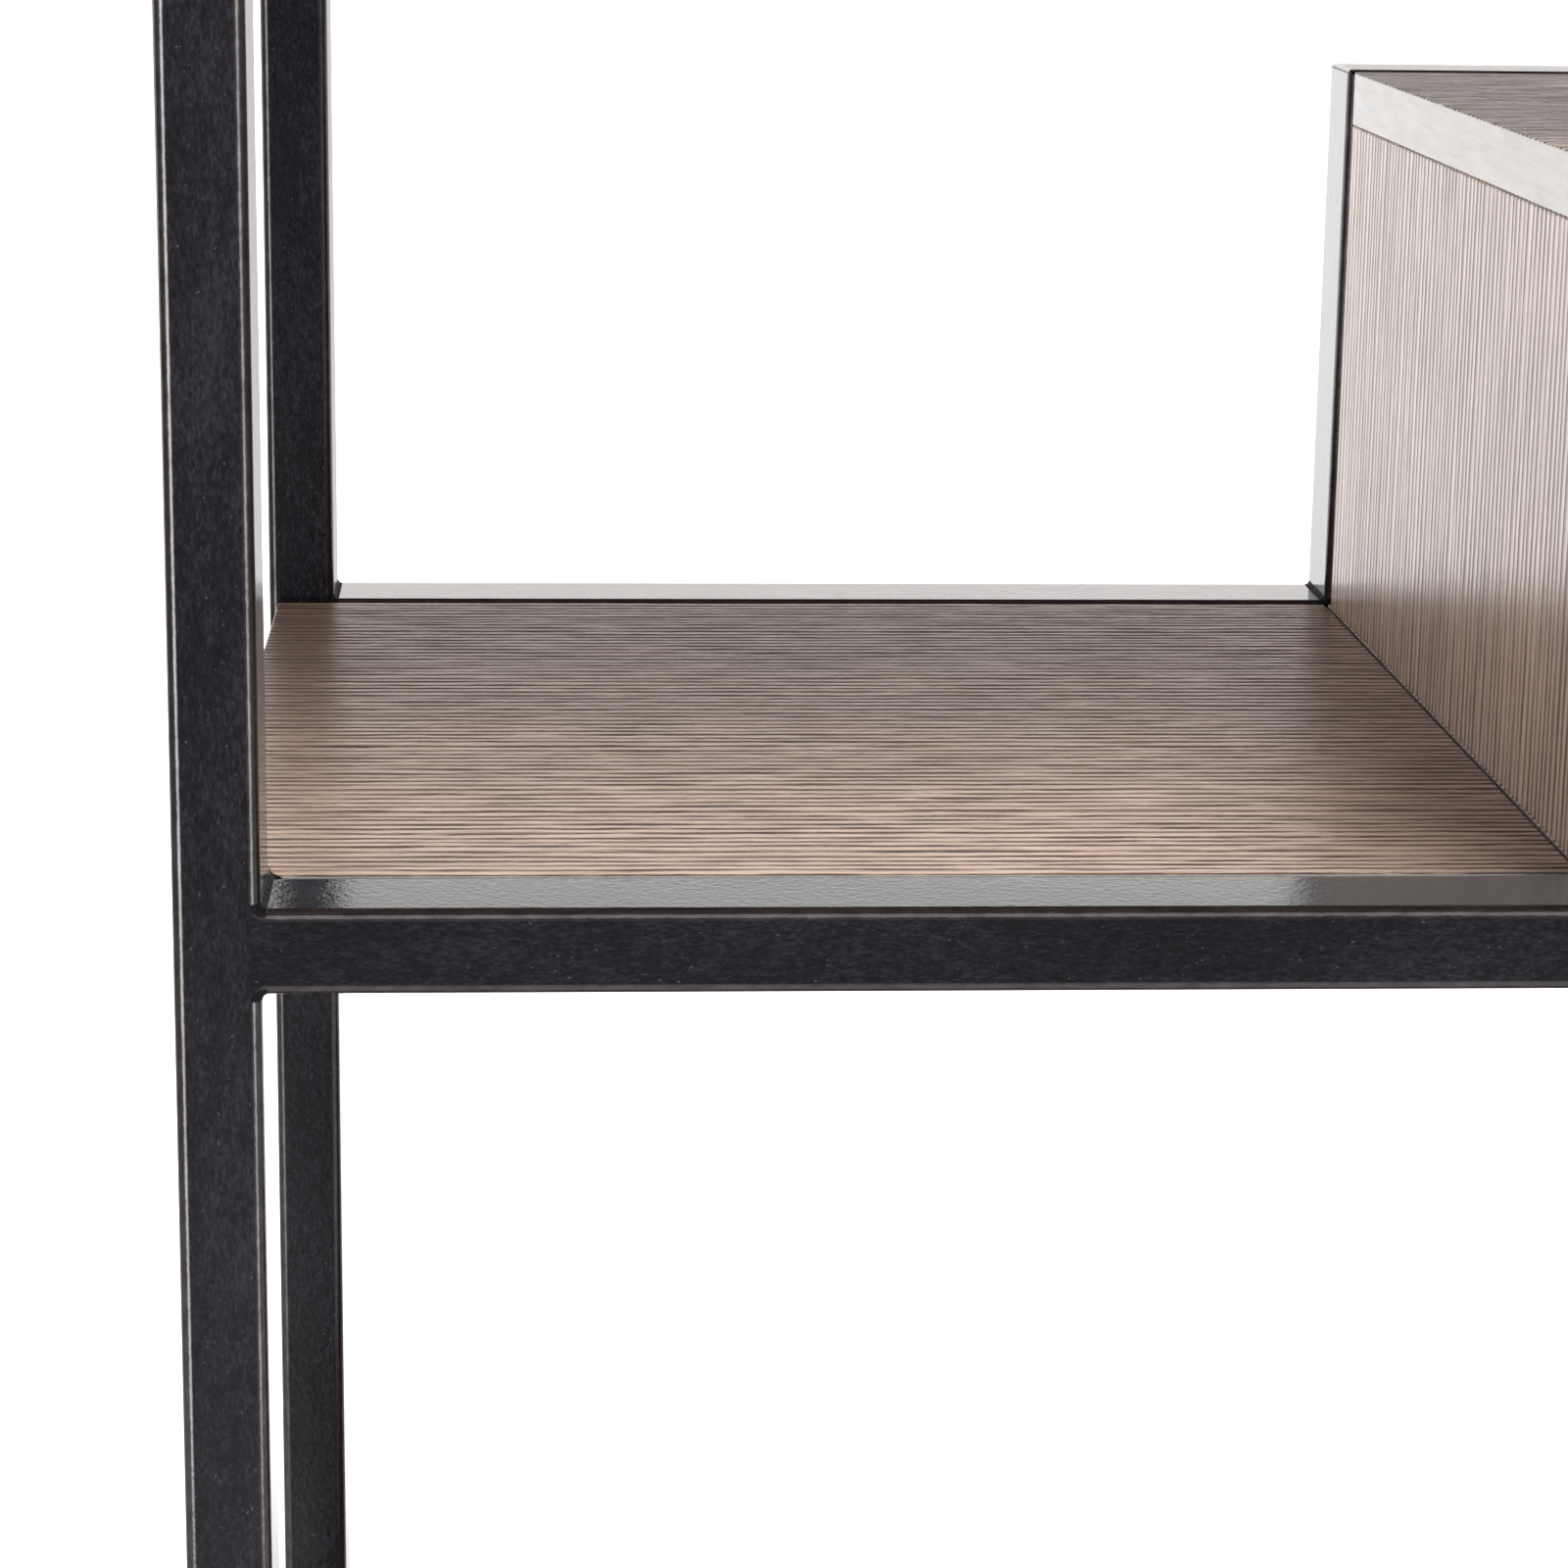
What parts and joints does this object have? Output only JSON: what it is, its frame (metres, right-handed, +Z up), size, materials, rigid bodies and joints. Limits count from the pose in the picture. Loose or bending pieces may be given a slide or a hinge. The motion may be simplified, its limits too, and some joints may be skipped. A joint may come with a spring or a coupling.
{
  "type": "open bookcase",
  "caption": "Tall free-standing open bookcase: black rectangular steel tube frame, drop-in wood decor shelves and open wooden boxes standing on alternate ends.",
  "frame": {"origin": "on the floor, in the middle of the footprint", "axes": "+Z up, +X to the right as seen from the front, +Y to the wall behind, so the front faces -Y"},
  "size_m": [1, 0.39, 1.66],
  "materials": {
    "black_steel": "satin black powder coat with a fine texture and polished edge highlights",
    "wood_decor": "satin grey-brown oak decor with a brushed grain",
    "black_plastic": "matte black",
    "silicone": "translucent pale silicone",
    "zinc_steel": "zinc plated",
    "beech": "plain turned beech"
  },
  "bodies": {
    "frame": {"post_front_left": "black_steel", "post_front_right": "black_steel", "post_rear_left": "black_steel", "post_rear_right": "black_steel", "rail_front_1": "black_steel", "rail_front_2": "black_steel", "rail_front_3": "black_steel", "rail_front_4": "black_steel", "rail_front_5": "black_steel", "rail_rear_1": "black_steel", "rail_rear_2": "black_steel", "rail_rear_3": "black_steel", "rail_rear_4": "black_steel", "rail_rear_5": "black_steel", "side_rail_bottom_left": "black_steel", "side_rail_bottom_right": "black_steel", "side_rail_top_left": "black_steel", "side_rail_top_right": "black_steel", "low_box_post_front": "black_steel", "low_box_post_rear": "black_steel", "low_box_rail_front": "black_steel", "low_box_rail_rear": "black_steel", "high_box_post_front": "black_steel", "high_box_post_rear": "black_steel", "high_box_rail_front": "black_steel", "high_box_rail_rear": "black_steel", "bearers_1": "black_steel", "bearers_2": "black_steel", "bearers_3": "black_steel", "bearers_4": "black_steel", "bearers_5": "black_steel", "shelf_1_wide": "wood_decor", "shelf_3_wide": "wood_decor", "low_box_inner_side": "wood_decor", "low_box_outer_side": "wood_decor", "low_box_top": "wood_decor", "low_box_back": "wood_decor", "high_box_inner_side": "wood_decor", "high_box_outer_side": "wood_decor", "high_box_top": "wood_decor", "high_box_back": "wood_decor", "foot_inserts": "black_plastic", "shelf_pads": "silicone", "board_screws": "zinc_steel", "box_dowels": "beech", "wall_brackets": "black_steel", "bracket_screws": "zinc_steel"},
    "shelf_1_narrow_board": {"shelf_1_narrow": "wood_decor"},
    "shelf_2_board": {"shelf_2": "wood_decor"},
    "shelf_3_narrow_board": {"shelf_3_narrow": "wood_decor"},
    "shelf_4_board": {"shelf_4": "wood_decor"},
    "shelf_5_board": {"shelf_5": "wood_decor"},
    "foot_front_left_glide": {"foot_front_left": "black_plastic"},
    "foot_front_right_glide": {"foot_front_right": "black_plastic"},
    "foot_rear_left_glide": {"foot_rear_left": "black_plastic"},
    "foot_rear_right_glide": {"foot_rear_right": "black_plastic"}
  },
  "joints": [
    {"name": "shelf_1_narrow_lift", "type": "slide", "parent": "frame", "child": "shelf_1_narrow_board", "axis": [0, 0, 1], "range_m": [0, 0.05]},
    {"name": "shelf_2_lift", "type": "slide", "parent": "frame", "child": "shelf_2_board", "axis": [0, 0, 1], "range_m": [0, 0.05]},
    {"name": "shelf_3_narrow_lift", "type": "slide", "parent": "frame", "child": "shelf_3_narrow_board", "axis": [0, 0, 1], "range_m": [0, 0.05]},
    {"name": "shelf_4_lift", "type": "slide", "parent": "frame", "child": "shelf_4_board", "axis": [0, 0, 1], "range_m": [0, 0.05]},
    {"name": "shelf_5_lift", "type": "slide", "parent": "frame", "child": "shelf_5_board", "axis": [0, 0, 1], "range_m": [0, 0.05]},
    {"name": "foot_front_left_screw_out", "type": "slide", "parent": "frame", "child": "foot_front_left_glide", "axis": [0, 0, -1], "range_m": [0, 0.015]},
    {"name": "foot_front_right_screw_out", "type": "slide", "parent": "frame", "child": "foot_front_right_glide", "axis": [0, 0, -1], "range_m": [0, 0.015]},
    {"name": "foot_rear_left_screw_out", "type": "slide", "parent": "frame", "child": "foot_rear_left_glide", "axis": [0, 0, -1], "range_m": [0, 0.015]},
    {"name": "foot_rear_right_screw_out", "type": "slide", "parent": "frame", "child": "foot_rear_right_glide", "axis": [0, 0, -1], "range_m": [0, 0.015]}
  ]
}
